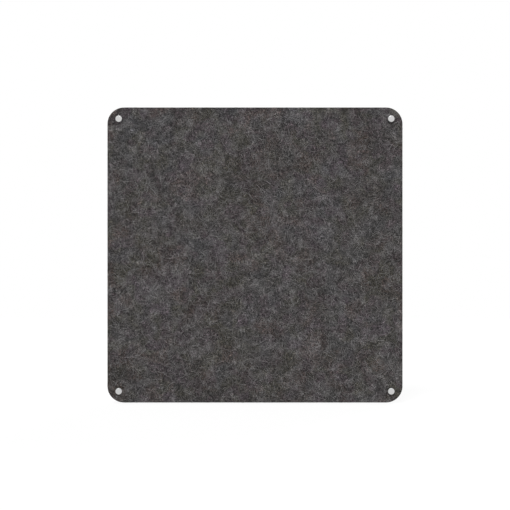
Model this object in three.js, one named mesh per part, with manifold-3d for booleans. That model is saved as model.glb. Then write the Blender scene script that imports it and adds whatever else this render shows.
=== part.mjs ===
// A square felt pinboard that stands off the wall on four turned aluminium fixings, one near each corner.
//
// Each fixing holds the board the way a signboard spacer does. A wall plug sits in the wall, and a countersunk
// screw pulls the spacer against it. The cap's threaded stud passes through a washer, the felt and a second
// washer, and screws into the spacer, so the felt is clamped between cap and spacer.
//
// Millimetres. +X is to the right and +Z is up. The board faces -Y, and the wall is the plane y = 0.

import * as THREE from "three";
import { mergeVertices } from "three/addons/utils/BufferGeometryUtils.js";
import Module from "manifold-3d";

// The board: one pressed felt sheet, cut square, with round corners and slightly eased edges
const boardWidth = 750;
const boardHeight = 750;
const boardThickness = 12;
const boardCornerRadius = 42;
const boardEdgeEase = 0.7;

// Where the fixings are: the hole's centre, from each of the two nearest edges
const fixingInset = 29;

// Cap and spacer are turned from one bar, and the threads that join them have the stud's diameter
const barDiameter = 16.5;
const studDiameter = 10;

// The cap: a flat disc with the stud behind it, and a groove where the thread runs out
const capThickness = 4;
const capFrontChamfer = 0.5;
const capBackChamfer = 0.25;
const studGrooveDepth = 0.9;
const studGrooveLength = 1.2;
const studTipChamfer = 1;
const studTipToFloor = 3;

// The two washers that keep the metal off the felt. The front one hides behind the cap.
const frontWasherThickness = 0.8;
const frontWasherInset = 1;
const rearWasherThickness = 1;
const washerChamfer = 0.2;

// The spacer: a barrel, bored for the stud from the front, with a countersunk floor for the screw
const spacerLength = 15;
const spacerChamfer = 0.4;
const spacerMouthChamfer = 0.8;
const screwHoleLand = 0.6;

// The countersunk wall screw, from the face of its head. Its thread is as wide as the screw's diameter.
const screwDiameter = 4;
const screwShankDiameter = 3;
const screwLength = 40;
const screwHeadDiameter = 7.8;
const screwHeadRim = 0.4;
const screwPlainLength = 12;
const screwPointLength = 6;

// The cross recess in the screw's head
const driveSpan = 4.4;
const driveRootSpan = 1.6;
const driveWidth = 0.9;
const driveDepth = 1.7;

// The nylon wall plug: a rimmed collar, then four split legs with saw teeth, joined again at the tip
const plugLength = 30;
const plugWall = 1;
const plugRimWidth = 0.9;
const plugRimThickness = 0.8;
const plugCollarLength = 9;
const plugToothCount = 5;
const plugToothDepth = 0.3;
const plugTipLength = 3;
const plugTipWall = 0.35;
const plugSlotWidth = 0.9;
const plugFinHeight = 0.7;
const plugFinThickness = 0.8;

// Clearances, each on the radius, between pieces that pass through or into each other
const studToBoard = 0.5;
const studToWasher = 0.3;
const studToSpacer = 0.3;
const screwToSpacer = 0.3;
const screwToPlug = 0.1;
const plugRimToSpacer = 1;

// The gap between the plug's rim and the spacer's recess, along the fixing
const plugRimToRecessFloor = 0.3;

// How far a cutting tool runs past what it cuts
const overrun = 1;

// Flat sides of turned pieces, and steps of round corners and eased edges
const turnedSides = 32;
const smallTurnedSides = 16;
const arcSteps = 12;
const easeSteps = 2;

// Radii that follow from the sizes above
const barRadius = barDiameter / 2;
const studRadius = studDiameter / 2;
const headRadius = screwHeadDiameter / 2;
const screwRadius = screwDiameter / 2;
const shankRadius = screwShankDiameter / 2;
const screwHoleRadius = screwRadius + screwToSpacer;
const plugBoreRadius = screwRadius + screwToPlug;
const plugRadius = plugBoreRadius + plugWall;
const plugRimRadius = plugRadius + plugRimWidth;

// Planes along Y, from the wall towards the room. The cones of the screw's head and of its seat are at 45
// degrees, so each is as long as its radius changes.
const plugRimFront = -plugRimThickness;
const recessFloor = plugRimFront - plugRimToRecessFloor;
const seatBottom = recessFloor - screwHoleLand;
const seatTop = seatBottom - (headRadius + screwToSpacer - screwHoleRadius);
const spacerFloor = seatTop - screwHeadRim;
const spacerFront = -spacerLength;
const boardBack = spacerFront - rearWasherThickness;
const boardFront = boardBack - boardThickness;
const capBack = boardFront - frontWasherThickness;
const capFront = capBack - capThickness;
const studTip = spacerFloor - studTipToFloor;

const feltMaterial = new THREE.MeshStandardMaterial({ color: 0x4c4a49, roughness: 0.97, metalness: 0 });
const aluminiumMaterial = new THREE.MeshStandardMaterial({ color: 0xcbcbcb, roughness: 0.38, metalness: 0.9 });
const clearWasherMaterial = new THREE.MeshStandardMaterial({ color: 0xe4e6e5, roughness: 0.35, metalness: 0 });
const rubberMaterial = new THREE.MeshStandardMaterial({ color: 0x1d1d1e, roughness: 0.8, metalness: 0 });
const zincMaterial = new THREE.MeshStandardMaterial({ color: 0xb4b7bb, roughness: 0.3, metalness: 1 });
const nylonMaterial = new THREE.MeshStandardMaterial({ color: 0x9a9c9d, roughness: 0.55, metalness: 0 });

const wasm = await Module();
wasm.setup();

// A profile turned about the Y axis. Its points are [radius, y], and run back along the outside of the piece.
function turned(profile, sides) {
  return new THREE.LatheGeometry(profile.map(([radius, y]) => new THREE.Vector2(radius, y)), sides);
}

function turnedRing(profile, sides) {
  return turned([...profile, profile[0]], sides);
}

// A flat blade in the XY plane, with its thickness shared to both sides of it
function blade(points, thickness) {
  const outline = new THREE.Shape(points.map(([x, y]) => new THREE.Vector2(x, y)));
  const geometry = new THREE.ExtrudeGeometry(outline, { depth: thickness, bevelEnabled: false });
  return geometry.translate(0, 0, -thickness / 2);
}

function solidOf(geometry) {
  const bare = geometry.clone();
  bare.deleteAttribute("normal");
  bare.deleteAttribute("uv");
  const merged = mergeVertices(bare);
  const vertProperties = merged.attributes.position.array;
  const triVerts = new Uint32Array(merged.index.array);
  return new wasm.Manifold(new wasm.Mesh({ numProp: 3, vertProperties, triVerts }));
}

function geometryOf(solid) {
  const mesh = solid.getMesh();
  const geometry = new THREE.BufferGeometry();
  geometry.setAttribute("position", new THREE.BufferAttribute(mesh.vertProperties, mesh.numProp));
  geometry.setIndex(new THREE.BufferAttribute(mesh.triVerts, 1));
  geometry.computeVertexNormals();
  return geometry;
}

// The hole centres, with left and right as seen from the front
function fixingPlaces() {
  const x = boardWidth / 2 - fixingInset;
  const z = boardHeight / 2 - fixingInset;
  return [
    { corner: "top_left", x: -x, z },
    { corner: "top_right", x, z },
    { corner: "bottom_left", x: -x, z: -z },
    { corner: "bottom_right", x, z: -z },
  ];
}

// The felt sheet's outline, with a round hole for each stud
function boardOutline() {
  const quarter = Math.PI / 2;
  const x = boardWidth / 2 - boardCornerRadius;
  const z = boardHeight / 2 - boardCornerRadius;
  const outline = new THREE.Shape();
  outline.absarc(x, z, boardCornerRadius, 0, quarter);
  outline.absarc(-x, z, boardCornerRadius, quarter, 2 * quarter);
  outline.absarc(-x, -z, boardCornerRadius, 2 * quarter, 3 * quarter);
  outline.absarc(x, -z, boardCornerRadius, 3 * quarter, 4 * quarter);
  for (const place of fixingPlaces()) {
    const hole = new THREE.Path();
    hole.absarc(place.x, place.z, studRadius + studToBoard, 0, 4 * quarter);
    outline.holes.push(hole);
  }
  return outline;
}

// The sheet is drawn flat, pulled forwards and stood up. The easing of its edges stays inside the outline.
function feltPanel() {
  const geometry = new THREE.ExtrudeGeometry(boardOutline(), {
    depth: boardThickness - 2 * boardEdgeEase,
    bevelThickness: boardEdgeEase,
    bevelSize: boardEdgeEase,
    bevelOffset: -boardEdgeEase,
    bevelSegments: easeSteps,
    curveSegments: arcSteps,
  });
  geometry.rotateX(Math.PI / 2);
  return geometry.translate(0, boardBack - boardEdgeEase, 0);
}

// The disc shows in front, and its stud ends clear of the spacer's floor
function cap() {
  const grooveRadius = studRadius - studGrooveDepth;
  const grooveEnd = capBack + studGrooveLength;
  return turned(
    [
      [0, capFront],
      [barRadius - capFrontChamfer, capFront],
      [barRadius, capFront + capFrontChamfer],
      [barRadius, capBack - capBackChamfer],
      [barRadius - capBackChamfer, capBack],
      [grooveRadius, capBack],
      [grooveRadius, grooveEnd],
      [studRadius, grooveEnd + studGrooveDepth],
      [studRadius, studTip - studTipChamfer],
      [studRadius - studTipChamfer, studTip],
      [0, studTip],
    ],
    turnedSides,
  );
}

// A flat ring round the stud, with its outer edges just broken
function washer(outerRadius, front, back) {
  const bore = studRadius + studToWasher;
  return turnedRing(
    [
      [bore, front],
      [outerRadius - washerChamfer, front],
      [outerRadius, front + washerChamfer],
      [outerRadius, back - washerChamfer],
      [outerRadius - washerChamfer, back],
      [bore, back],
    ],
    turnedSides,
  );
}

// The stud's bore runs back to the countersunk floor. Behind the floor a shallow recess takes the plug's
// rim, so that the spacer's foot sits flat on the wall.
function spacer() {
  const bore = studRadius + studToSpacer;
  const seat = headRadius + screwToSpacer;
  const recess = plugRimRadius + plugRimToSpacer;
  return turnedRing(
    [
      [screwHoleRadius, seatBottom],
      [seat, seatTop],
      [seat, spacerFloor],
      [bore, spacerFloor],
      [bore, spacerFront + spacerMouthChamfer],
      [bore + spacerMouthChamfer, spacerFront],
      [barRadius - spacerChamfer, spacerFront],
      [barRadius, spacerFront + spacerChamfer],
      [barRadius, -spacerChamfer],
      [barRadius - spacerChamfer, 0],
      [recess, 0],
      [recess, recessFloor],
      [screwHoleRadius, recessFloor],
    ],
    turnedSides,
  );
}

// One wing of the cross recess: a blade that narrows with depth, and runs out of the head's face
function driveWing() {
  const slope = (driveSpan - driveRootSpan) / 2 / driveDepth;
  const mouth = driveSpan / 2 + overrun * slope;
  const root = driveRootSpan / 2;
  const points = [
    [-mouth, spacerFloor - overrun],
    [mouth, spacerFloor - overrun],
    [root, spacerFloor + driveDepth],
    [-root, spacerFloor + driveDepth],
  ];
  return blade(points, driveWidth);
}

// The head is flush with the spacer's floor
function wallScrew() {
  const coneTop = spacerFloor + screwHeadRim;
  const threadStart = spacerFloor + screwPlainLength;
  const point = spacerFloor + screwLength;
  const body = turned(
    [
      [0, spacerFloor],
      [headRadius, spacerFloor],
      [headRadius, coneTop],
      [shankRadius, coneTop + headRadius - shankRadius],
      [shankRadius, threadStart],
      [screwRadius, threadStart + screwRadius - shankRadius],
      [screwRadius, point - screwPointLength],
      [0, point],
    ],
    smallTurnedSides,
  );
  const wing = driveWing();
  const crossWing = driveWing().rotateY(Math.PI / 2);
  return geometryOf(solidOf(body).subtract(solidOf(wing)).subtract(solidOf(crossWing)));
}

// Saw teeth along the plug: each slopes down towards the tip, and the next one stands up again at once
function plugTeeth(start, end) {
  const pitch = (end - start) / plugToothCount;
  return Array.from({ length: plugToothCount }, (_, i) => [
    [plugRadius, start + i * pitch],
    [plugRadius - plugToothDepth, start + (i + 1) * pitch],
  ]).flat();
}

// A slot right through the plug parts its legs between the collar and the tip
function plugSlot(start, end) {
  const across = 2 * (plugRadius + overrun);
  const slot = new THREE.BoxGeometry(across, end - start, plugSlotWidth);
  return slot.translate(0, (start + end) / 2, 0);
}

// A fin on the collar stops the plug from turning in its hole. It starts inside the collar's wall.
function plugFin() {
  const root = plugRadius - plugWall / 2;
  const crest = plugRadius + plugFinHeight;
  const points = [
    [root, 0],
    [crest, 0],
    [crest, plugCollarLength - plugFinHeight],
    [root, plugCollarLength],
  ];
  return blade(points, plugFinThickness);
}

function wallPlug() {
  const legsEnd = plugLength - plugTipLength;
  const sleeve = turnedRing(
    [
      [plugBoreRadius, plugRimFront],
      [plugRimRadius, plugRimFront],
      [plugRimRadius, 0],
      [plugRadius, 0],
      ...plugTeeth(plugCollarLength, legsEnd),
      [plugBoreRadius + plugTipWall, plugLength],
      [plugBoreRadius, plugLength],
    ],
    smallTurnedSides,
  );
  const slot = plugSlot(plugCollarLength, legsEnd);
  const crossSlot = slot.clone().rotateY(Math.PI / 2);
  const fin = plugFin().rotateY(Math.PI / 4);
  const oppositeFin = fin.clone().rotateY(Math.PI);
  return geometryOf(
    solidOf(sleeve)
      .subtract(solidOf(slot))
      .subtract(solidOf(crossSlot))
      .add(solidOf(fin))
      .add(solidOf(oppositeFin)),
  );
}

function named(name, geometry, material) {
  const mesh = new THREE.Mesh(geometry, material);
  mesh.name = name;
  return mesh;
}

// One corner's fixing, about the axis of its hole, from the cap back to the plug
function fixing({ corner, x, z }) {
  const frontWasher = washer(barRadius - frontWasherInset, capBack, boardFront);
  const rearWasher = washer(barRadius, boardBack, spacerFront);
  const group = new THREE.Group();
  group.add(
    named(`cap_${corner}`, cap(), aluminiumMaterial),
    named(`front_washer_${corner}`, frontWasher, clearWasherMaterial),
    named(`rear_washer_${corner}`, rearWasher, rubberMaterial),
    named(`spacer_${corner}`, spacer(), aluminiumMaterial),
    named(`wall_screw_${corner}`, wallScrew(), zincMaterial),
    named(`wall_plug_${corner}`, wallPlug(), nylonMaterial),
  );
  group.position.set(x, 0, z);
  return group;
}

const pinboard = new THREE.Group();
pinboard.add(named("felt_panel", feltPanel(), feltMaterial));
for (const place of fixingPlaces()) {
  pinboard.add(fixing(place));
}

export default pinboard;
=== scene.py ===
# %% [markdown]
# # A felt pinboard on four stand-off fixings
#
# The board is one thick sheet of pressed felt with round corners. Near each corner a turned metal
# fixing holds it off the wall: a cap with a threaded stud, two washers, a spacer, and a wall screw
# in its plug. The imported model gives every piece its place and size. This script puts a finished
# piece in the place of each one, in metres, and reads its sizes from the frame, so that nothing has
# to be fitted by hand.

import math

import bmesh
import bpy
import numpy as np
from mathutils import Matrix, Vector, noise
from mathutils.geometry import delaunay_2d_cdt


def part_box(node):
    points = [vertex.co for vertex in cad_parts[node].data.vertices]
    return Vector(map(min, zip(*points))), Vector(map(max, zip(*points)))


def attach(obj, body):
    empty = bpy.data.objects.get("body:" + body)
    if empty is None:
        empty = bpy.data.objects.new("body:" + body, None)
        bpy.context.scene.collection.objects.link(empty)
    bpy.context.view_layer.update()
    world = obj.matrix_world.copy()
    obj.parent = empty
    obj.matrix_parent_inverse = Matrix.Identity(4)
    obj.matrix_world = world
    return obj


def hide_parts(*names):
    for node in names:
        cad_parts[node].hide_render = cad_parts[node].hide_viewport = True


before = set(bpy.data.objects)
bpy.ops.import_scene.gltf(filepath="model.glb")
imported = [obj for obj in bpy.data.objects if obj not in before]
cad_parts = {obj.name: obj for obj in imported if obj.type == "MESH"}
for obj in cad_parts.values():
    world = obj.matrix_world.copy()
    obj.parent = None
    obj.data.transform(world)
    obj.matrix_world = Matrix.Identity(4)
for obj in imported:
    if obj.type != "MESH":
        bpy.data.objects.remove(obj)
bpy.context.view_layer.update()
print("pieces in the frame:", len(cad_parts))

# %% [markdown]
# ## Sizes that the frame gives
#
# The side of a box, a plane between two pieces or the axis of a fixing can all be read from the
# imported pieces. Reading them here, once, keeps the finished pieces in step with the frame if a size
# changes there. A size that shows in no box, such as the radius of the board's corners, is repeated
# where it is first needed. All depths are along Y: the wall's surface is at zero, the board lies
# before it at negative depths, and the screws and plugs reach into the wall at positive ones.

# %% Read the board and the fixings
CORNERS = ("top_left", "top_right", "bottom_left", "bottom_right")
MM = 0.001
BOARD_RADIUS = 42 * MM

board_low, board_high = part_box("felt_panel")
board_half = (board_high.x - board_low.x) / 2
board_front = board_low.y
board_back = board_high.y
straight_half = board_half - BOARD_RADIUS


def axis_of(corner):
    """The place of a corner's fixing in the board's plane, as (x, z)."""
    low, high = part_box(f"cap_{corner}")
    return (low.x + high.x) / 2, (low.z + high.z) / 2


def radius_of(node):
    """Half the width of a round piece."""
    low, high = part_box(node)
    return (high.x - low.x) / 2


axes = {corner: axis_of(corner) for corner in CORNERS}
axis_offset = axes["top_right"][0]
bar_radius = radius_of("cap_top_left")
front_washer_radius = radius_of("front_washer_top_left")
print("board, mm:", round(2 * board_half / MM), "fixing axes, mm:", round(axis_offset / MM, 1))

# %% [markdown]
# ## Node trees as expressions
#
# A node tree is only a formula, so it reads best as one. This small class wraps a socket and turns
# Python's operators into Math nodes. Everything else goes through `add`, which takes a node's type,
# its settings and the values or links of its sockets. It works in shader trees and in geometry
# trees, which share these nodes.


# %% A class for node expressions
class Wire:
    """An output socket in a node tree. Arithmetic on wires adds Math nodes to the tree."""

    def __init__(self, tree, socket=None):
        self.tree = tree
        self.socket = socket

    def add(self, kind, settings, values, output=0):
        """Adds a node of this kind and returns the wire of one of its outputs."""
        node = self.tree.nodes.new(kind)
        for name, value in settings.items():
            if name == "stops":
                set_stops(node.color_ramp, value)
            else:
                setattr(node, name, value)
        for name, value in values.items():
            if isinstance(value, Wire):
                self.tree.links.new(value.socket, node.inputs[name])
            else:
                node.inputs[name].default_value = value
        return Wire(self.tree, node.outputs[output] if node.outputs else None)

    def output(self, name):
        """Another output of the same node."""
        return Wire(self.tree, self.socket.node.outputs[name])

    def maths(self, operation, first, second=0.0):
        """A Math node on two numbers."""
        return self.add("ShaderNodeMath", {"operation": operation}, {0: first, 1: second})

    def vector(self, operation, first, second=(0.0, 0.0, 0.0), output=0):
        """A Vector Math node on two vectors."""
        operands = {0: first, 1: second}
        return self.add("ShaderNodeVectorMath", {"operation": operation}, operands, output)

    def dot(self, first, second):
        """The dot product of two vectors, which is a number."""
        return self.vector("DOT_PRODUCT", first, second, "Value")

    def __add__(self, other):
        return self.maths("ADD", self, other)

    def __sub__(self, other):
        return self.maths("SUBTRACT", self, other)

    def __rsub__(self, other):
        return self.maths("SUBTRACT", other, self)

    def __mul__(self, other):
        return self.maths("MULTIPLY", self, other)

    def __rtruediv__(self, other):
        return self.maths("DIVIDE", other, self)

    __radd__ = __add__
    __rmul__ = __mul__


def set_stops(ramp, stops):
    """Gives a colour ramp these (position, colour) stops."""
    while len(ramp.elements) < len(stops):
        ramp.elements.new(1.0)
    for element, (position, colour) in zip(ramp.elements, stops):
        element.position = position
        element.color = (*colour, 1.0)


# %% Helpers that every finish uses
# Mix gives its sockets the same names for each kind of data, so those for colours go by number
MIX_SHARE = 0
MIX_FIRST = 6
MIX_SECOND = 7
MIX_COLOUR = 2


def new_finish(name):
    """A material with an empty tree, and the wire to build it with."""
    material = bpy.data.materials.new(name)
    material.use_nodes = True
    material.node_tree.nodes.clear()
    return material, Wire(material.node_tree)


def surface(wire, values):
    """Ends a material's tree in the main shader with these values."""
    shader = wire.add("ShaderNodeBsdfPrincipled", {}, values)
    wire.add("ShaderNodeOutputMaterial", {}, {"Surface": shader})
    print("nodes in this finish:", len(wire.tree.nodes))


def bumped(wire, strength, distance, height):
    """A normal that is tilted as a relief of this height would tilt it."""
    sockets = {"Strength": strength, "Distance": distance, "Height": height}
    return wire.add("ShaderNodeBump", {}, sockets)


def between(wire, value, low, high):
    """0 below low and 1 above high, with a smooth rise between them."""
    sockets = {"Value": value, "From Min": low, "From Max": high}
    return wire.add("ShaderNodeMapRange", {"interpolation_type": "SMOOTHSTEP"}, sockets)


def full(colour):
    """A colour with its alpha, or a wire as it is."""
    return colour if isinstance(colour, Wire) else (*colour, 1.0)


def mixed(wire, share, first, second):
    """A mix of two colours, each a wire or a plain colour."""
    sockets = {MIX_SHARE: share, MIX_FIRST: full(first), MIX_SECOND: full(second)}
    return wire.add("ShaderNodeMix", {"data_type": "RGBA"}, sockets, MIX_COLOUR)


def dimmed(wire, colour, factor):
    """A colour made darker or lighter by a factor."""
    return wire.add("ShaderNodeVectorMath", {"operation": "SCALE"}, {0: colour, "Scale": factor})


# %% [markdown]
# Nothing on the real board is quite even, so most finishes start from noise. Each use of it has a
# seed of its own, because patterns with the same seed would lie on top of each other and show.

# %% Noise for the finishes
UNIT = 1.0
MIDDLE = 0.5
SEEDS = {
    "rings": 1.0, "handling": 2.0, "grain": 3.0, "plastic": 4.0, "mottle": 10.0, "tuft": 17.0,
    "bend": 20.0, "plies": 60.0, "cut hair": 65.0, "fuzz": 70.0, "cast": 80.0, "tint": 100.0,
    "comb": 110.0, "grit": 120.0, "wide rings": 130.0,
}


def cloud(wire, place, size, seed, detail=0.0, output=0):
    """A noise of this size in metres, from 0 to 1 about its middle. The seed sets its pattern."""
    sockets = {"Vector": place, "W": seed, "Scale": 1 / size, "Detail": detail}
    return wire.add("ShaderNodeTexNoise", {"noise_dimensions": "4D"}, sockets, output)


def swing(value, depth):
    """A factor about 1 that follows a noise up and down, by this depth."""
    return 1.0 + (value - MIDDLE) * depth


def at_least(least, value):
    """A value from 0 to 1, squeezed so that it runs from this least to 1."""
    return least + (1 - least) * value


# %% [markdown]
# ## The camera
#
# The photograph looks straight at the board, square to it and level with its middle, with no edge
# in view. A long lens far away gives that calm, nearly parallel look. The distance follows from how
# much of the picture the board fills.

# %% Set the camera
PICTURE_PX = 510
BOARD_PX = 295.1
LENS_MM = 85.0
SENSOR_MM = 36.0
LEVEL = math.radians(90)

scene = bpy.context.scene


def placed(name, data):
    """A new object in the scene, made of a camera, a lamp or a mesh."""
    made = bpy.data.objects.new(name, data)
    scene.collection.objects.link(made)
    return made


frame_width = 2 * board_half * PICTURE_PX / BOARD_PX
camera_distance = frame_width * LENS_MM / SENSOR_MM
camera_data = bpy.data.cameras.new("camera")
camera_data.lens = LENS_MM
camera_data.sensor_width = SENSOR_MM
camera = placed("camera", camera_data)
camera.location = (0.0, board_front - camera_distance, 0.0)
camera.rotation_euler = (LEVEL, 0.0, 0.0)
scene.camera = camera
print("camera distance, m:", round(camera_distance, 3))

# %% [markdown]
# ## The light
#
# A soft key light stands above and in front, a little to the left, so that each cap drops a short
# shadow on the felt. A lamp of the sun type gives the same light all over the board, as in the
# photograph, and its angle sets how soft the shadows are. A weaker lamp behind does the same for
# the back. The world fills in the rest. It is white for the camera and for reflections, and dimmer
# as a light.

# %% Light the scene
WHITE = (1.0, 1.0, 1.0)
LAMP_SOFTNESS = math.radians(20)
# The strength of each lamp, and the direction that its light comes from
LAMPS = {"key": (2.55, (-0.18, -0.50, 0.85)), "rear": (1.5, (0.35, 0.75, 0.60))}
FILL_STRENGTH = 0.34
SEEN_STRENGTH = 1.0

scene.view_settings.view_transform = "Standard"
for name, (strength, comes_from) in LAMPS.items():
    lamp_data = bpy.data.lights.new(name, "SUN")
    lamp_data.energy = strength
    lamp_data.angle = LAMP_SOFTNESS
    lamp = placed(name, lamp_data)
    lamp.rotation_euler = Vector(comes_from).to_track_quat("Z", "Y").to_euler()
    print(name, "lamp, strength:", strength)


def seen_directly(wire):
    """1 for rays from the camera, off glossy surfaces and through clear ones, 0 for others."""
    path = wire.add("ShaderNodeLightPath", {}, {}, "Is Camera Ray")
    either = wire.maths("MAXIMUM", path, path.output("Is Glossy Ray"))
    return wire.maths("MAXIMUM", either, path.output("Is Transmission Ray"))


world = bpy.data.worlds.new("studio")
world.use_nodes = True
world.node_tree.nodes.clear()
air = Wire(world.node_tree)
fill = air.add("ShaderNodeBackground", {}, {"Color": full(WHITE), "Strength": FILL_STRENGTH})
white = air.add("ShaderNodeBackground", {}, {"Color": full(WHITE), "Strength": SEEN_STRENGTH})
sky = air.add("ShaderNodeMixShader", {}, {0: seen_directly(air), 1: fill, 2: white})
air.add("ShaderNodeOutputWorld", {}, {"Surface": sky})
scene.world = world

# %% [markdown]
# ## The floor
#
# The floor is plain and pale and lies just under the board. Seen directly, most of its brightness
# is its own, so that it fades into the white background. The rest is light that it receives, which
# keeps a faint shadow of the board on it.

# %% Lay the floor
FLOOR_DROP = 2 * MM
FLOOR_HALF = 4.0
FLOOR_PALE = (0.8, 0.8, 0.8)
FLOOR_SEEN = (0.10, 0.10, 0.10)
FLOOR_GLOW = 0.90
SQUARE = ((-1, -1), (1, -1), (1, 1), (-1, 1))

floor_z = board_low.z - FLOOR_DROP
floor_corners = [(x * FLOOR_HALF, y * FLOOR_HALF, floor_z) for x, y in SQUARE]
floor_mesh = bpy.data.meshes.new("floor")
floor_mesh.from_pydata(floor_corners, [], [range(len(floor_corners))])
floor = placed("floor", floor_mesh)
floor_finish, ground = new_finish("pale floor")
lit = ground.add("ShaderNodeBsdfDiffuse", {}, {"Color": full(FLOOR_PALE)})
faint = ground.add("ShaderNodeBsdfDiffuse", {}, {"Color": full(FLOOR_SEEN)})
glow = ground.add("ShaderNodeEmission", {}, {"Strength": FLOOR_GLOW})
seen = ground.add("ShaderNodeAddShader", {}, {0: faint, 1: glow})
both = ground.add("ShaderNodeMixShader", {}, {0: seen_directly(ground), 1: lit, 2: seen})
ground.add("ShaderNodeOutputMaterial", {}, {"Surface": both})
floor_mesh.materials.append(floor_finish)
print("floor at z, m:", round(floor_z, 4))

# %% [markdown]
# ## The felt's marl
#
# Pressed felt of this kind is made of dyed fibres in several shades, tossed together and needled
# flat. From a step away it reads as a dark grey with soft clouds, cool where it is pale and warm
# where it is dark, and over them a tangle of paler and darker hairs. A painted picture could show
# this, but noise has no seams and never repeats. The clouds are plain noise at several sizes, and
# each makes the grey a little darker or lighter by a factor, so that it never turns black. Close up
# the grey is not cloudy but combed, so finer noises are stretched in one direction, bent by a
# second noise and multiplied in the same way, each turned another way. The hairs come from such a
# noise too, with only its highest parts kept as short curved streaks. Their layers lie over each
# other like the fibres do, and the pale ones gather in tufts.

# %% Streaks of hair
STREAK_LENGTH = 14 * MM
STREAK_WIDTH = 1.3 * MM
STREAK_DETAIL = 2.0
STREAK_FROM = 0.58
STREAK_FULL = 0.70
BEND_SIZE = 16 * MM
BEND = 11 * MM
NO_PUSH = (MIDDLE, MIDDLE, MIDDLE)


def bent(wire, place, reach):
    """A place pushed about by a slow noise, so that straight streaks come out curved."""
    push = cloud(wire, place, BEND_SIZE, SEEDS["bend"], output="Color")
    return wire.vector("ADD", place, dimmed(wire, wire.vector("SUBTRACT", push, NO_PUSH), reach))


def drawn_out(wire, place, sizes, turn, seed, detail):
    """A noise as long as these three sizes, and turned by this angle in the board's plane."""
    sockets = {"Vector": place, "Rotation": (0.0, math.radians(turn), 0.0), "Scale": sizes}
    stretched = wire.add("ShaderNodeMapping", {"vector_type": "TEXTURE"}, sockets)
    return cloud(wire, stretched, UNIT, seed, detail)


def streaks(wire, place, turn, size, seed):
    """Short hairs that lie at this angle in the board's plane: 1 on a hair and 0 beside it."""
    sizes = (STREAK_LENGTH * size, STREAK_WIDTH * size, STREAK_WIDTH * size)
    combed = drawn_out(wire, place, sizes, turn, seed, STREAK_DETAIL)
    return between(wire, combed, STREAK_FROM, STREAK_FULL)


def tangle(wire, place, turns, size, seed):
    """Several layers of streaks, each turned another way."""
    hairs = streaks(wire, place, turns[0], size, seed)
    for number, turn in enumerate(turns[1:], 1):
        hairs = wire.maths("MAXIMUM", hairs, streaks(wire, place, turn, size, seed + number))
    return hairs


# %% Mix the felt's colours
WARM_DARK = (0.0368, 0.0318, 0.0278)
COOL_PALE = (0.0539, 0.0489, 0.0503)
# The size and the depth of each noise that sways between these two
CASTS = ((110 * MM, 0.9), (60 * MM, 1.5), (34 * MM, 0.5))
SLATE = (0.95, 0.995, 1.06)
OLIVE = (0.99, 1.04, 0.90)
LILAC = (1.05, 0.94, 1.07)
DEEP_SLATE = (0.91, 1.00, 1.07)
DEEP_ROSE = (1.14, 0.96, 0.92)
# Each tint, and the size of its patches
TINTS = (
    (DEEP_SLATE, 150 * MM), (DEEP_ROSE, 120 * MM), (OLIVE, 95 * MM), (DEEP_SLATE, 80 * MM),
    (DEEP_ROSE, 64 * MM), (SLATE, 50 * MM), (OLIVE, 38 * MM), (LILAC, 28 * MM),
)
TINT_FROM = 0.50
TINT_FULL = 0.68
# The size and the depth of each soft shade
SHADES = ((58 * MM, 0.60), (11 * MM, 0.55), (5.2 * MM, 1.3))
# The turns in degrees, the length, the width and the depth of each comb
COMBED = (((20, 80, 140), 9 * MM, 2.2 * MM, 2.4), ((50, 110, 170), 5 * MM, 1.1 * MM, 3.2))
COMBED_DETAIL = 1.0
GRIT_SIZE = 1.8 * MM
GRIT_DETAIL = 2.0
GRIT_DEPTH = 4.4
TUFT_SIZE = 16 * MM
TUFT_FROM = 0.44
TUFT_FULL = 0.74
TUFT_LEAST = 0.25
# The turns in degrees, the size, the seed, the strength and the colour of each tangle
DARK_HAIRS = (
    ((30, 88, 150), 1.0, 30.0, 0.50, (0.014, 0.013, 0.012)),
    ((15, 75, 135), 0.4, 35.0, 0.45, (0.016, 0.015, 0.014)),
)
PALE_HAIRS = (
    ((10, 52, 98, 140), 1.0, 40.0, 1.00, (0.238, 0.231, 0.233)),
    ((0, 60, 120), 0.4, 50.0, 1.00, (0.210, 0.204, 0.205)),
)


def body_colour(wire, place):
    """The soft clouds of colour that go right through the felt."""
    cast = MIDDLE
    for number, (size, depth) in enumerate(CASTS):
        cast = cast + (cloud(wire, place, size, SEEDS["cast"] + number) - MIDDLE) * depth
    body = mixed(wire, cast, WARM_DARK, COOL_PALE)
    tone = WHITE
    for number, (tint, size) in enumerate(TINTS):
        patch = cloud(wire, place, size, SEEDS["tint"] + number)
        tone = mixed(wire, between(wire, patch, TINT_FROM, TINT_FULL), tone, tint)
    return wire.vector("MULTIPLY", body, tone)


def mottled(wire, place, curved):
    """A factor for the felt's colour: soft shades, a fine comb in six directions, and grit."""
    light = swing(cloud(wire, place, GRIT_SIZE, SEEDS["grit"], GRIT_DETAIL), GRIT_DEPTH)
    for number, (size, depth) in enumerate(SHADES):
        light = light * swing(cloud(wire, place, size, SEEDS["mottle"] + number), depth)
    seed = SEEDS["comb"]
    for turns, length, width, depth in COMBED:
        for turn in turns:
            comb = drawn_out(wire, curved, (length, width, width), turn, seed, COMBED_DETAIL)
            light = light * swing(comb, depth)
            seed += 1
    return light


def marl(wire, place):
    """The colour of the felt's face: the body colour, mottled and overlaid with hairs."""
    curved = bent(wire, place, BEND)
    body = dimmed(wire, body_colour(wire, place), mottled(wire, place, curved))
    for turns, size, seed, strength, colour in DARK_HAIRS:
        hairs = tangle(wire, curved, turns, size, seed) * strength
        body = mixed(wire, hairs, body, colour)
    tufts = between(wire, cloud(wire, place, TUFT_SIZE, SEEDS["tuft"]), TUFT_FROM, TUFT_FULL)
    tufts = at_least(TUFT_LEAST, tufts)
    for turns, size, seed, strength, colour in PALE_HAIRS:
        hairs = tangle(wire, curved, turns, size, seed) * (tufts * strength)
        body = mixed(wire, hairs, body, colour)
    return body


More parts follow.
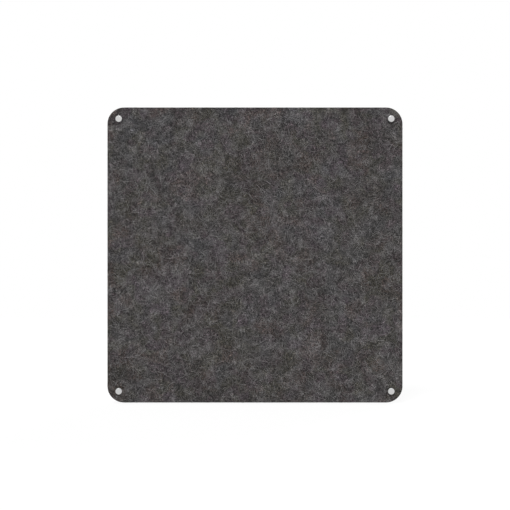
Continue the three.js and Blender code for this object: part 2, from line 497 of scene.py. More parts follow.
# %% Finish of the felt's face
FELT_ROUGHNESS = 0.95
FELTED = {"Specular IOR Level": 0.15, "Sheen Weight": 0.06}
FUZZ_SIZES = (0.9 * MM, 4 * MM)
FUZZ_STRENGTH = 0.5
FUZZ_HEIGHT = 0.6 * MM

felt_face, pile = new_finish("marled felt")
spot = pile.add("ShaderNodeTexCoord", {}, {}, "Object")
fuzz = sum(
    cloud(pile, spot, size, SEEDS["fuzz"] + number) for number, size in enumerate(FUZZ_SIZES)
)
surface(pile, {
    "Base Color": marl(pile, spot),
    "Roughness": FELT_ROUGHNESS,
    "Normal": bumped(pile, FUZZ_STRENGTH, FUZZ_HEIGHT, fuzz),
    **FELTED,
})

# %% [markdown]
# ## The cut edge
#
# Where the sheet is cut, its fibres show from the side: they lie in thin layers that run along the
# edge, and each layer is a little lighter or darker than the next. A noise that is long in the
# board's plane and fine across its thickness makes such layers, on the straight sides and round the
# corners alike. Three sizes of it are laid over each other, and a fourth, slightly bent, gives the
# pale hairs and raises the surface. On the faces, hairs lie over the body colour and mute its
# tints. The cut has few hairs, so a plain grey does that here.

# %% Finish of the felt's cut edge
CUT_LIGHT = 1.4
CUT_GREY = (0.0445, 0.0414, 0.0411)
CUT_GREY_SHARE = 0.5
# The length, the height and the depth of each kind of layer
LAYERS = ((22 * MM, 1.1 * MM, 1.8), (7 * MM, 0.35 * MM, 2.0), (2.4 * MM, 0.9 * MM, 1.6))
LAYER_DETAIL = 2.0
LAYER_BEND = 4 * MM
LAYER_HAIR = (0.190, 0.184, 0.182)
LAYER_HAIR_FROM = 0.57
LAYER_HAIR_FULL = 0.74
CUT_BUMP_STRENGTH = 0.8
CUT_BUMP_HEIGHT = 0.5 * MM

felt_cut, ply = new_finish("cut felt")
spot = ply.add("ShaderNodeTexCoord", {}, {}, "Object")


def layered(wire, place, length, height, seed):
    """Noise drawn out along the board's plane."""
    return drawn_out(wire, place, (length, height, length), 0.0, seed, LAYER_DETAIL)


light = CUT_LIGHT
for number, (length, height, depth) in enumerate(LAYERS):
    light = light * swing(layered(ply, spot, length, height, SEEDS["plies"] + number), depth)
length, height = LAYERS[1][:2]
strands = layered(ply, bent(ply, spot, LAYER_BEND), length, height, SEEDS["cut hair"])
hair = between(ply, strands, LAYER_HAIR_FROM, LAYER_HAIR_FULL)
muted = mixed(ply, CUT_GREY_SHARE, body_colour(ply, spot), CUT_GREY)
surface(ply, {
    "Base Color": mixed(ply, hair, dimmed(ply, muted, light), LAYER_HAIR),
    "Roughness": FELT_ROUGHNESS,
    "Normal": bumped(ply, CUT_BUMP_STRENGTH, CUT_BUMP_HEIGHT, strands),
    **FELTED,
})

# %% [markdown]
# ## The felt panel
#
# The sheet is flat, but not dead flat: it swells a little, and it is pressed in under the washers.
# A subdivided box could be dented like this, but it would be as fine in its middle as round the
# washers. This mesh is fine only where the shape changes. The points of one face are chosen first,
# as loops along the edge, rings round each stud and a staggered grid. A Delaunay triangulation
# joins them, and rings of points down the cut edge join the front to the back. Points in the
# board's plane are written as complex numbers, because a turn is then a product.

# %% Choose the points of one face
EDGE_STEP = 2.8 * MM
EDGE_EASE = 0.7 * MM
EDGE_LOOPS = (1.5 * MM, 3.6 * MM)
GRID_STEP = 5.2 * MM
GRID_CLEAR = 5.5 * MM
HOLE_RADIUS = 5.5 * MM
HOLE_SIDES = 56
RING_RADII = [radius * MM for radius in (7.0, 7.6, 8.3, 9.1, 10.1, 11.3, 12.7, 14.3, 16.2, 18.5)]
QUARTER = math.pi / 2


def outline(inset):
    """Points round the board, this far inside its edge, and the directions outwards."""
    arc_steps = round(QUARTER * BOARD_RADIUS / EDGE_STEP)
    run_steps = round(2 * straight_half / EDGE_STEP)
    points = []
    outwards = []
    for number in range(len(CORNERS)):
        corner = complex(straight_half, straight_half) * 1j**number
        arc = np.exp(1j * QUARTER * (number + np.arange(arc_steps) / arc_steps))
        points.append(corner + (BOARD_RADIUS - inset) * arc)
        outwards.append(arc)
        run = corner + (corner * 1j - corner) * np.arange(run_steps) / run_steps
        across = np.full(run_steps, 1j ** (number + 1))
        points.append(run + (BOARD_RADIUS - inset) * across)
        outwards.append(across)
    return np.concatenate(points), np.concatenate(outwards)


def hole_ring(corner, radius):
    """Points on a circle about a corner's fixing."""
    angles = 2j * math.pi * np.arange(HOLE_SIDES) / HOLE_SIDES
    return complex(*axes[corner]) + radius * np.exp(angles)


def edge_distance(points):
    """How far points lie inside the board's outline."""
    beyond_x = np.maximum(abs(points.real) - straight_half, 0.0)
    beyond_z = np.maximum(abs(points.imag) - straight_half, 0.0)
    return BOARD_RADIUS - np.hypot(beyond_x, beyond_z)


def fixing_distance(points):
    """How far points lie from the nearest fixing's axis."""
    return np.min([abs(points - complex(*axes[corner])) for corner in CORNERS], axis=0)


def staggered_grid():
    """Rows of points, every second one shifted by half a step, clear of the edge and the rings."""
    columns = np.arange(-board_half, board_half, GRID_STEP)
    rows = np.arange(-board_half, board_half, GRID_STEP * math.sin(math.pi / 3))
    shifts = GRID_STEP / 2 * (np.arange(len(rows)) % 2)
    points = (columns[None, :] + shifts[:, None] + 1j * rows[:, None]).ravel()
    outside_rings = fixing_distance(points) > RING_RADII[-1] + GRID_STEP / 2
    return points[(edge_distance(points) > GRID_CLEAR) & outside_rings]


rim, rim_out = outline(EDGE_EASE)
hole_rims = [hole_ring(corner, HOLE_RADIUS + EDGE_EASE) for corner in CORNERS]
rings = [hole_ring(corner, radius) for corner in CORNERS for radius in RING_RADII]
loops = [outline(inset)[0] for inset in EDGE_LOOPS]
face_points = np.concatenate([rim, *hole_rims, *rings, *loops, staggered_grid()])
print("points on one face:", len(face_points))


# %% Join them with triangles
CLOSEST = 1e-7


def closed_loop(start, count):
    """The pairs of neighbours in a closed row of points whose numbers begin at the start."""
    return [(start + i, start + (i + 1) % count) for i in range(count)]


def triangulated(points):
    """The points and the triangles between the outline and the holes, all turned the same way."""
    borders = closed_loop(0, len(rim))
    for number in range(len(hole_rims)):
        borders += closed_loop(len(rim) + number * HOLE_SIDES, HOLE_SIDES)
    found = delaunay_2d_cdt([Vector((p.real, p.imag)) for p in points], borders, [], 0, CLOSEST)
    spots = np.array([complex(*spot) for spot in found[0]])
    triangles = np.array(found[2])
    # A triangle with all its corners on the rims fills a hole or is a sliver along a straight edge
    rim_count = len(rim) + len(hole_rims) * HOLE_SIDES
    return spots, triangles[triangles.max(axis=1) >= rim_count]


face_spots, face_triangles = triangulated(face_points)
print("triangles on one face:", len(face_triangles))
print("points that the triangulation added:", len(face_spots) - len(face_points))

# %% [markdown]
# ## Relief of the felt
#
# The clamped felt is flat under its washer and rises just outside it, most where the fibres bulge
# against the rim. Elsewhere each face stands a third of a millimetre further out, and a slow noise
# moves it by up to a fifth of a millimetre, so that it catches light as a soft sheet does.

# %% Shape both faces
SWELL = 0.30 * MM
LIP = 0.16 * MM
LIP_REACH = 3 * MM
PRESS_REACH = 4.5 * MM
# The size and the height of each wave
WAVES = ((45 * MM, 0.14 * MM), (13 * MM, 0.09 * MM))
FRONT_SEED = 0.0
BACK_SEED = 9.0


def smooth_step(share):
    """A share that leaves 0 and reaches 1 gently, and is never beyond them."""
    share = np.clip(share, 0.0, 1.0)
    return share * share * (3 - 2 * share)


def relief(points, pressed_radius, seed):
    """How far the felt stands out from the plane of its washer."""
    waves = np.full(len(points), SWELL)
    for size, height in WAVES:
        places = [Vector((p.real / size, seed, p.imag / size)) for p in points]
        waves += [height * noise.noise(place) for place in places]
    away = fixing_distance(points) - pressed_radius
    lip = LIP * np.exp(-(((away - LIP_REACH) / (LIP_REACH / 2)) ** 2))
    return smooth_step(away / PRESS_REACH) * waves + lip


face_count = len(face_spots)
front_depths = board_front - relief(face_spots, front_washer_radius, FRONT_SEED)
back_depths = board_back + relief(face_spots, bar_radius, BACK_SEED)
print("felt thickness, mm:", round((back_depths - front_depths).mean() / MM, 2))

# %% [markdown]
# A cut edge of felt is neither sharp nor quite flat. So the front and the back each end in a short
# arc, and the rings between them are pushed in and out by a noise that is finer across the sheet
# than along it.

# %% Join the faces round the edge and through the holes
ARC_RINGS = 4
ARC_TURNS = np.linspace(0.0, QUARTER, ARC_RINGS)
CUT_RINGS = 12
CUT_RELIEF = 0.10 * MM
CUT_GRAIN = 6 * MM
LAYER_SQUEEZE = 3


def edge_profile():
    """Rings down the cut: how far each stands out from the rim, and its share of the thickness."""
    arc_out = EDGE_EASE * np.sin(ARC_TURNS)
    arc_down = EDGE_EASE * (1 - np.cos(ARC_TURNS)) / (board_back - board_front)
    shares = np.linspace(arc_down[-1], 1 - arc_down[-1], CUT_RINGS)[1:-1]
    out = np.concatenate([arc_out, np.full(len(shares), EDGE_EASE), arc_out[::-1]])
    down = np.concatenate([arc_down, shares, 1 - arc_down[::-1]])
    return list(zip(out, down))[1:-1]


def strip(upper, lower):
    """Quads between two closed loops of points."""
    return list(zip(upper, lower, np.roll(lower, -1), np.roll(upper, -1)))


def cut_wall(vertices, loop, direction):
    """Adds the wall between the front and back of one loop, and returns its faces."""
    faces = []
    previous = loop
    for out, share in edge_profile():
        spots = face_spots[loop] + out * direction
        depths = front_depths[loop] * (1 - share) + back_depths[loop] * share
        places = [Vector((p.real, y * LAYER_SQUEEZE, p.imag)) for p, y in zip(spots, depths)]
        bulges = np.array([noise.noise(place / CUT_GRAIN) for place in places])
        spots = spots + CUT_RELIEF * direction * bulges
        current = np.arange(len(vertices), len(vertices) + len(loop))
        vertices += [(p.real, y, p.imag) for p, y in zip(spots, depths)]
        faces += strip(previous, current)
        previous = current
    return faces + strip(previous, loop + face_count)


def felt_mesh():
    """The whole panel: two faces, the wall round the edge and the walls of the holes."""
    vertices = [(p.real, y, p.imag) for p, y in zip(face_spots, front_depths)]
    vertices += [(p.real, y, p.imag) for p, y in zip(face_spots, back_depths)]
    faces = [tuple(triangle) for triangle in face_triangles]
    faces += [tuple(triangle[::-1] + face_count) for triangle in face_triangles]
    faces += cut_wall(vertices, np.arange(len(rim)), rim_out)
    for number, corner in enumerate(CORNERS):
        loop = len(rim) + number * HOLE_SIDES + np.arange(HOLE_SIDES)
        inwards = complex(*axes[corner]) - face_spots[loop]
        faces += cut_wall(vertices, loop, inwards / abs(inwards))
    mesh = bpy.data.meshes.new("pressed_felt")
    mesh.from_pydata(vertices, [], faces)
    return mesh


# %% Make the panel
SHARP = math.radians(35)
FACE_TILT = 0.7
CM3 = 1e-6


def finished(mesh):
    """Points a closed mesh's faces outwards and says whether it is closed."""
    shell = bmesh.new()
    shell.from_mesh(mesh)
    bmesh.ops.recalc_face_normals(shell, faces=shell.faces)
    open_edges = sum(len(edge.link_faces) != 2 for edge in shell.edges)
    volume = shell.calc_volume(signed=True)
    shell.to_mesh(mesh)
    shell.free()
    mesh.shade_smooth()
    mesh.set_sharp_from_angle(angle=SHARP)
    cubic_cm = round(volume / CM3, 2)
    print(mesh.name, "open edges:", open_edges, "faces:", len(mesh.polygons), "cm3:", cubic_cm)
    return mesh


def show(name, mesh, slot, *finishes):
    """Makes a piece of a mesh that already lies in its place."""
    piece = placed(name, mesh)
    mesh.materials.clear()
    for finish in finishes:
        mesh.materials.append(finish)
    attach(piece, "root")
    return piece


panel_mesh = finished(felt_mesh())
pressed_felt = show("pressed_felt", panel_mesh, "felt", felt_face, felt_cut)
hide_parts("felt_panel")
for polygon in panel_mesh.polygons:
    polygon.material_index = int(abs(polygon.normal.y) < FACE_TILT)

# %% [markdown]
# ## Loose fibres
#
# On the real board single fibres lie loose on the pressed surface, in every shade of the marl, and
# they give the felt its hairy look. Strands of hair could be combed over the panel by hand, but one
# rule that holds for all of them suits Geometry Nodes better: scatter points on the panel, put a
# short line on each, let a noise of its own bend each line, and give the line some thickness. The
# same tree makes the pale, the grey and the dark fibres of the front, those of the back and the
# short ones on the cut edge, by other values of its inputs.

# %% Inputs of the fibre tree
AMOUNTS = (
    "Facing", "Density", "Length", "Radius", "Curl", "Curl size", "Lift", "Inset",
    "Darkest", "Palest",
)
FIBRE_INPUTS = {
    "Felt": "NodeSocketGeometry",
    **dict.fromkeys(AMOUNTS, "NodeSocketFloat"),
    "Seed": "NodeSocketInt",
    "Finish": "NodeSocketMaterial",
}
ACROSS_BOARD = (0.0, 1.0, 0.0)
IN_BOARD = (1.0, 0.0, 1.0)
FACING_SLACK = 0.3
CLUMP_SIZE = 34 * MM
CLUMP_FROM = 0.34
CLUMP_FULL = 0.64
THINNEST_SHARE = 0.30
SHORTEST_SHARE = 0.45
LONGEST_SHARE = 1.35
# Random Value gives its sockets the same names for each kind too, so these go by number
RANDOM_LOW = 2
RANDOM_HIGH = 3
RANDOM_FLOAT = 1
SEED_STEPS = {"turn": 1, "length": 2, "shade": 3, "whim": 4, "rise": 6}


def random_number(given, low, high, use):
    """A random number for each element. Each use adds its own step to the seed."""
    sockets = {RANDOM_LOW: low, RANDOM_HIGH: high, "Seed": given.output("Seed") + SEED_STEPS[use]}
    return given.add("FunctionNodeRandomValue", {}, sockets, RANDOM_FLOAT)


def sown(given):
    """Points in clumps over the front of the felt, its back or its cut edge, as Facing says."""
    normal = given.add("GeometryNodeInputNormal", {}, {})
    off = given.maths("ABSOLUTE", given.dot(normal, ACROSS_BOARD) - given.output("Facing"))
    near = given.maths("LESS_THAN", off, FACING_SLACK)
    place = given.add("GeometryNodeInputPosition", {}, {})
    seed = given.output("Seed")
    clump = between(given, cloud(given, place, CLUMP_SIZE, seed), CLUMP_FROM, CLUMP_FULL)
    thick = given.output("Density") * at_least(THINNEST_SHARE, clump)
    sockets = {"Mesh": given.output("Felt"), "Selection": near, "Density": thick, "Seed": seed}
    return given.add("GeometryNodeDistributePointsOnFaces", {}, sockets)


# %% [markdown]
# A straight line on a point near the board's edge would stick out over it. So each point is first
# moved inwards, by as much as its own line needs to fit between the board's sides.

# %% Lay a straight fibre on each point
FIBRE_POINTS = 9
LINE_START = (-0.5, 0.0, 0.0)
LINE_END = (0.5, 0.0, 0.0)
BOARD_MIDDLE = (0.0, (board_front + board_back) / 2, 0.0)
REACH_SLACK = 0.5 * MM
BOARD_REACH = (board_half, (board_back - board_front) / 2 + REACH_SLACK, board_half)


def laid(given):
    """Short straight lines along the felt, turned at random, that all fit on the board."""
    points = sown(given)
    own_turn = random_number(given, 0.0, math.pi, "turn")
    own_turn = given.add("ShaderNodeCombineXYZ", {}, {"Z": own_turn})
    sockets = {"Rotation": points.output("Rotation"), "Rotate By": own_turn}
    turn = given.add("FunctionNodeRotateRotation", {"rotation_space": "LOCAL"}, sockets)
    length = given.output("Length") * random_number(given, SHORTEST_SHARE, LONGEST_SHARE, "length")
    along = given.add("FunctionNodeRotateVector", {}, {"Vector": LINE_END, "Rotation": turn})
    half = dimmed(given, given.vector("ABSOLUTE", along), length)
    limit = given.vector("SUBTRACT", BOARD_REACH, half)
    place = given.vector("SUBTRACT", given.add("GeometryNodeInputPosition", {}, {}), BOARD_MIDDLE)
    place = given.vector("MAXIMUM", place, dimmed(given, limit, -1.0))
    place = given.vector("MINIMUM", place, limit)
    place = given.vector("ADD", place, BOARD_MIDDLE)
    points = given.add("GeometryNodeSetPosition", {}, {"Geometry": points, "Position": place})
    line = given.add("GeometryNodeCurvePrimitiveLine", {}, {"Start": LINE_START, "End": LINE_END})
    line = given.add("GeometryNodeResampleCurve", {}, {"Curve": line, "Count": FIBRE_POINTS})
    size = given.add("ShaderNodeCombineXYZ", {}, {"X": length, "Y": UNIT, "Z": UNIT})
    sockets = {"Points": points, "Instance": line, "Rotation": turn, "Scale": size}
    return given.add("GeometryNodeInstanceOnPoints", {}, sockets)


# %% Bend the fibres and lift them
TINY = 1e-6
SINK_FREE = 0.12 * MM
SINK_PRESSED = 0.45 * MM


def remembered(given, name, kind="FLOAT"):
    """A value that was stored on each fibre."""
    return given.add("GeometryNodeInputNamedAttribute", {"data_type": kind}, {"Name": name})


def curled(given, place, outward):
    """The place of each point after its fibre's own noise has bent it along the felt's surface."""
    push = cloud(given, place, given.output("Curl size"), remembered(given, "whim"), output="Color")
    push = dimmed(given, given.vector("SUBTRACT", push, NO_PUSH), given.output("Curl"))
    across = dimmed(given, outward, given.dot(push, outward))
    return given.vector("ADD", place, given.vector("SUBTRACT", push, across))


def quartered(given, place):
    """A place in the board's plane, folded into one quarter of the board."""
    return given.vector("MULTIPLY", given.vector("ABSOLUTE", place), IN_BOARD)


def off_axis(given, flat):
    """How far a folded place lies from its fixing's axis."""
    return given.vector("DISTANCE", flat, (axis_offset, 0.0, axis_offset), "Value")


def lifted(given, place, arch):
    """How far fibres rise. Their ends sink in, and near a washer they are pressed down."""
    away = off_axis(given, quartered(given, place))
    free = between(given, away, bar_radius, bar_radius + PRESS_REACH)
    rise = given.output("Lift") * remembered(given, "rise") * arch
    return (rise + (SINK_PRESSED - SINK_FREE)) * free - SINK_PRESSED


def astray(given):
    """Above 0 where a point lies beyond the board's rounded outline, or in a hole for a fixing."""
    flat = quartered(given, given.add("GeometryNodeInputPosition", {}, {}))
    straight = (straight_half, 0.0, straight_half)
    beyond = given.vector("MAXIMUM", given.vector("SUBTRACT", flat, straight))
    reach = given.vector("LENGTH", beyond, output="Value") + given.output("Inset")
    in_hole = given.maths("LESS_THAN", off_axis(given, flat), HOLE_RADIUS)
    lost = given.maths("GREATER_THAN", reach, BOARD_RADIUS) + in_hole
    settings = {"data_type": "FLOAT", "domain": "POINT"}
    return given.add("GeometryNodeFieldOnDomain", settings, {0: lost})


# %% [markdown]
# The tree notes four values on each fibre before it is bent: its shade, the whim that bends it in
# its own way, how high it rises, and which way is outward. A bend can still carry a fibre over the
# rim of the board or of a hole, and such a fibre is left out as a whole, because a cut one would
# look clipped.

# %% Build the fibre tree
FIBRE_SIDES = 3
WHIMS = 400.0
LOWEST_RISE = 0.25
TIP_SHARE = 0.35
ARCH_SCALE = 4.0
OFF_FACE = (0.0, 0.0, 1.0)
NOTES = ("shade", "whim", "rise", "outward")


def noted(given, fibres):
    """The straight fibres with four values noted on each. A point's Z axis stands off its face."""
    turn = given.add("GeometryNodeInputInstanceRotation", {}, {})
    outward = given.add("FunctionNodeRotateVector", {}, {"Vector": OFF_FACE, "Rotation": turn})
    notes = (
        random_number(given, given.output("Darkest"), given.output("Palest"), "shade"),
        random_number(given, 0.0, WHIMS, "whim"),
        random_number(given, LOWEST_RISE, 1.0, "rise"),
        outward,
    )
    for name, value in zip(NOTES, notes):
        kind = "FLOAT_VECTOR" if value is outward else "FLOAT"
        settings = {"domain": "INSTANCE", "data_type": kind}
        sockets = {"Geometry": fibres, "Name": name, "Value": value}
        fibres = given.add("GeometryNodeStoreNamedAttribute", settings, sockets)
    return fibres


def fibre_tree():
    """Loose fibres on the felt. An arch is 0 at a fibre's ends and 1 in its middle."""
    tree = bpy.data.node_groups.new("loose_fibres", "GeometryNodeTree")
    for name, kind in FIBRE_INPUTS.items():
        tree.interface.new_socket(name, in_out="INPUT", socket_type=kind)
    tree.interface.new_socket("Fibres", in_out="OUTPUT", socket_type="NodeSocketGeometry")
    given = Wire(tree).add("NodeGroupInput", {}, {})
    fibres = given.add("GeometryNodeRealizeInstances", {}, {"Geometry": noted(given, laid(given))})
    outward = remembered(given, "outward", "FLOAT_VECTOR")
    place = curled(given, given.add("GeometryNodeInputPosition", {}, {}), outward)
    share = given.add("GeometryNodeSplineParameter", {}, {})
    arch = share * (1.0 - share) * ARCH_SCALE
    height = dimmed(given, outward, lifted(given, place, arch))
    sockets = {"Geometry": fibres, "Position": place, "Offset": height}
    fibres = given.add("GeometryNodeSetPosition", {}, sockets)
    sockets = {"Geometry": fibres, "Selection": given.maths("GREATER_THAN", astray(given), 0.0)}
    fibres = given.add("GeometryNodeDeleteGeometry", {"domain": "CURVE"}, sockets)
    sockets = {"Resolution": FIBRE_SIDES, "Radius": UNIT}
    profile = given.add("GeometryNodeCurvePrimitiveCircle", {}, sockets)
    thickness = given.output("Radius") * at_least(TIP_SHARE, arch)
    sockets = {"Curve": fibres, "Profile Curve": profile, "Scale": thickness, "Fill Caps": True}
    fibres = given.add("GeometryNodeCurveToMesh", {}, sockets)
    fibres = given.add("GeometryNodeRealizeInstances", {}, {"Geometry": fibres})
    sockets = {"Geometry": fibres, "Material": given.output("Finish")}
    fibres = given.add("GeometryNodeSetMaterial", {}, sockets)
    given.add("NodeGroupOutput", {}, {"Fibres": fibres})
    print("nodes in the fibre tree:", len(tree.nodes))
    return tree


# %% [markdown]
# ## Finish of the fibres
#
# The finished mesh keeps each fibre's shade as an attribute, and a colour ramp turns it into one of
# the marl's colours, from brown-black through the greys to nearly white.

# %% Finish of the loose fibres
FIBRE_STOPS = (
    (0.00, (0.012, 0.0105, 0.010)),
    (0.25, (0.044, 0.036, 0.033)),
    (0.45, (0.096, 0.092, 0.086)),
    (0.65, (0.174, 0.168, 0.166)),
    (0.85, (0.335, 0.326, 0.323)),
    (1.00, (0.570, 0.558, 0.552)),
)
FIBRE_ROUGHNESS = 0.85

fibre_finish, strand = new_finish("loose fibre")
shade = strand.add("ShaderNodeAttribute", {"attribute_name": "shade"}, {}, "Fac")
surface(strand, {
    "Base Color": strand.add("ShaderNodeValToRGB", {"stops": FIBRE_STOPS}, {"Fac": shade}),
    "Roughness": FIBRE_ROUGHNESS,
    **FELTED,
})

# %% [markdown]
# ## Scattering the fibres
#
# Each row below is one kind of fibre, and it becomes one piece. The values are handed to the
# modifier before it runs for the first time, and its result is kept as a plain mesh without the
# modifier.

# %% Scatter the fibres
# How far the faces that a kind of fibre lies on look along +Y
FRONT = -1.0
BACK = 1.0
EDGE = 0.0
OWN_AMOUNTS = ("Facing", "Length", "Radius", "Darkest", "Palest")
ON_FACE = {
    "Density": 10400.0, "Curl": 22 * MM, "Curl size": 20 * MM, "Lift": 0.55 * MM, "Inset": 1.0 * MM,
}
ON_EDGE = {
    "Density": 80000.0, "Curl": 7 * MM, "Curl size": 9 * MM, "Lift": 0.5 * MM, "Inset": -0.6 * MM,
}
# What a kind of fibre shares with others, and its own amounts
FIBRES = {
    "pale_fibres": (ON_FACE, FRONT, 20 * MM, 0.14 * MM, 0.75, 1.00),
    "silver_fibres": (ON_FACE, FRONT, 18 * MM, 0.15 * MM, 0.60, 0.95),
    "grey_fibres": (ON_FACE, FRONT, 18 * MM, 0.17 * MM, 0.45, 0.85),
    "brown_fibres": (ON_FACE, FRONT, 17 * MM, 0.17 * MM, 0.15, 0.60),
    "dark_fibres": (ON_FACE, FRONT, 17 * MM, 0.20 * MM, 0.00, 0.20),
    "back_pale_fibres": (ON_FACE, BACK, 19 * MM, 0.15 * MM, 0.55, 1.00),
    "back_dark_fibres": (ON_FACE, BACK, 18 * MM, 0.19 * MM, 0.00, 0.50),
    "edge_fibres": (ON_EDGE, EDGE, 8 * MM, 0.12 * MM, 0.20, 0.95),
}


def as_left_by_modifiers(thing):
    """The mesh that an object's modifiers make, as a plain mesh. The object is removed."""
    evaluated = thing.evaluated_get(bpy.context.evaluated_depsgraph_get())
    mesh = bpy.data.meshes.new_from_object(evaluated)
    thing.modifiers.clear()
    bpy.data.objects.remove(thing)
    return mesh


def grown(name, tree, values):
    """Fibres on a copy of the panel's mesh, as a plain mesh."""
    base = placed(name, panel_mesh.copy())
    modifier = base.modifiers.new(name, "NODES")
    modifier.node_group = tree
    for item in tree.interface.items_tree:
        if item.in_out == "INPUT" and item.name in values:
            modifier[item.identifier] = values[item.name]
    mesh = as_left_by_modifiers(base)
    mesh.name = name
    mesh.shade_smooth()
    for note in NOTES[1:]:
        mesh.attributes.remove(mesh.attributes[note])
    return mesh


loose_fibres = fibre_tree()
for seed, (name, (common, *values)) in enumerate(FIBRES.items(), 1):
    own = dict(zip(OWN_AMOUNTS, values))
    mesh = grown(name, loose_fibres, {**common, **own, "Seed": seed, "Finish": fibre_finish})
    mesh.calc_loop_triangles()
    print(name, "triangles:", len(mesh.loop_triangles))
    show(name, mesh, "felt", fibre_finish)

# %% [markdown]
# ## Turned pieces
#
# Every piece of a fixing is turned on a lathe, or moulded in a turned mould, so one function makes
# them all: it takes half of the section as a list of corners and turns it about the axis. Real
# edges are never quite sharp. Each corner is therefore given an ease, and a short curve replaces
# it. The Screw modifier could turn the plain pieces too, but not those with a thread. A screw
# thread is a ridge that climbs as it goes round, so it is a wave in the radius that depends on the
# depth and on the turn together.


# %% Round the corners of a section
EASE_STEPS = 4
MOST_SHARE = 0.5


def eased(corners):
    """The points of a closed section. Each corner (radius, depth, ease) is rounded by its ease."""
    points = []
    neighbours = zip(corners[-1:] + corners[:-1], corners, corners[1:] + corners[:1])
    for before, corner, after in neighbours:
        middle = np.array(corner[:2])
        ease = corner[2]
        if not ease:
            points.append(tuple(middle))
            continue
        into = np.array(before[:2]) - middle
        out = np.array(after[:2]) - middle
        start = middle + into * min(ease / np.hypot(*into), MOST_SHARE)
        end = middle + out * min(ease / np.hypot(*out), MOST_SHARE)
        for share in np.linspace(0.0, 1.0, EASE_STEPS):
            first = start * (1 - share) + middle * share
            second = middle * (1 - share) + end * share
            points.append(tuple(first * (1 - share) + second * share))
    return points


# %% Turn a section about the axis
def refined(points, start, stop, step):
    """Adds rows to the straight part of a section between two depths, close enough for a thread."""
    rows = []
    for here, after in zip(points, points[1:] + points[:1]):
        rows.append(here)
        if min(here[1], after[1]) < stop and max(here[1], after[1]) > start and here[0] > TINY:
            count = max(int(abs(after[1] - here[1]) / step), 1)
            between_them = np.linspace(here, after, count + 1)[1:-1]
            rows += [tuple(row) for row in between_them]
    return rows


def uncut(radius, depth, turn):
    """The cut of a piece without a thread."""
    return 0.0


def turned(name, points, sides, cut=uncut):
    """A section turned about the Y axis. cut(radius, depth, turn) is a thread's depth there."""
    shell = bmesh.new()
    rows = []
    for radius, depth in points:
        if radius < TINY:
            rows.append([shell.verts.new((0.0, depth, 0.0))])
            continue
        row = []
        for number in range(sides):
            turn = number / sides
            reach = radius - cut(radius, depth, turn)
            angle = 2 * math.pi * turn
            row.append(shell.verts.new((reach * math.cos(angle), depth, reach * math.sin(angle))))
        rows.append(row)
    for upper, lower in zip(rows, rows[1:] + rows[:1]):
        for number in range(sides):
            quad = [upper[number % len(upper)], upper[(number + 1) % len(upper)]]
            quad += [lower[(number + 1) % len(lower)], lower[number % len(lower)]]
            corners = list(dict.fromkeys(quad))
            if len(corners) > 2:
                shell.faces.new(corners)
    mesh = bpy.data.meshes.new(name)
    shell.to_mesh(mesh)
    shell.free()
    return mesh


def thread(start, stop, pitch, deepest, crest_share, inner=0.0, outer=math.inf):
    """The cut of a screw thread between two depths, on rows between two radii."""

    def cut(radius, depth, turn):
        if not (start < depth < stop and inner < radius < outer):
            return 0.0
        phase = (depth / pitch - turn) % 1.0
        off_crest = (abs(2 * phase - 1) - crest_share) / (1 - 2 * crest_share)
        fade = min((depth - start) / pitch, (stop - depth) / pitch, 1.0)
        return deepest * fade * min(max(off_crest, 0.0), 1.0)

    return cut


# %% [markdown]
# ## Turned metal
#
# The caps and spacers are satin anodised aluminium, and the wall screws have a coat of bright zinc,
# which is smoother and a little bluer. A lathe leaves fine rings round the axis and wider ones
# between them, which soften the reflection, and handling leaves slight changes of gloss. The rings
# need each piece's own centre, so a turned mesh keeps its lathe coordinates in an attribute before
# it moves to its corner.

# %% Finishes of the metals
FINE_PITCH = 0.22 * MM
WIDE_PITCH = 0.9 * MM
WIDE_SHARE = 0.4
RING_HEIGHT = 0.02 * MM
RING_SHARE = 0.26
RING_DETAIL = 1.0
HANDLED_SIZE = 3 * MM
HANDLED_SHARE = 0.08
FINE_DETAIL = 2.0


def lathe_place(wire):
    """Where a point lay in the lathe, before its piece was moved to its corner."""
    return wire.add("ShaderNodeAttribute", {"attribute_name": "lathe"}, {}, "Vector")


def tool_marks(wire, place):
    """Fine and wide rings round the axis: the radius and the depth drive two noises."""
    radius = wire.vector("LENGTH", wire.vector("MULTIPLY", place, IN_BOARD), output="Value")
    rings = wire.add("ShaderNodeCombineXYZ", {}, {"X": radius, "Y": wire.dot(place, ACROSS_BOARD)})
    fine = cloud(wire, rings, FINE_PITCH, SEEDS["rings"], RING_DETAIL)
    wide = cloud(wire, rings, WIDE_PITCH, SEEDS["wide rings"], RING_DETAIL)
    return fine * (1 - WIDE_SHARE) + wide * WIDE_SHARE


def metal(name, colour, roughness, marks, wear):
    """A turned metal: rings in the bump and the gloss, and slow changes of gloss from handling."""
    finish, wire = new_finish(name)
    place = lathe_place(wire)
    rings = tool_marks(wire, place)
    handled = cloud(wire, place, HANDLED_SIZE, SEEDS["handling"], FINE_DETAIL) - MIDDLE
    uneven = (rings - MIDDLE) * RING_SHARE
    surface(wire, {
        "Base Color": dimmed(wire, colour, 1.0 + uneven + handled * HANDLED_SHARE),
        "Metallic": 1.0,
        "Roughness": roughness + uneven + handled * wear,
        "Normal": bumped(wire, marks, RING_HEIGHT, rings),
    })
    return finish


aluminium = metal("satin aluminium", (0.585, 0.583, 0.581), roughness=0.36, marks=0.70, wear=0.10)
zinc = metal("bright zinc", (0.56, 0.58, 0.62), roughness=0.28, marks=0.45, wear=0.22)

# %% [markdown]
# ## Plastic and rubber
#
# The washers and the plug come out of moulds, which leave a fine grain and hardly any pattern. A
# small bump shows the grain, and slight changes of shade and gloss keep the surface from looking
# computed.

# %% Finishes of the washers and the plug
GRAIN_STRENGTH = 0.3
GRAIN_HEIGHT = 0.05 * MM
GRAIN_SHADE = 0.08
GRAIN_GLOSS = 0.12
SHADE_SIZE = 4 * MM
SHADE_SHARE = 0.16


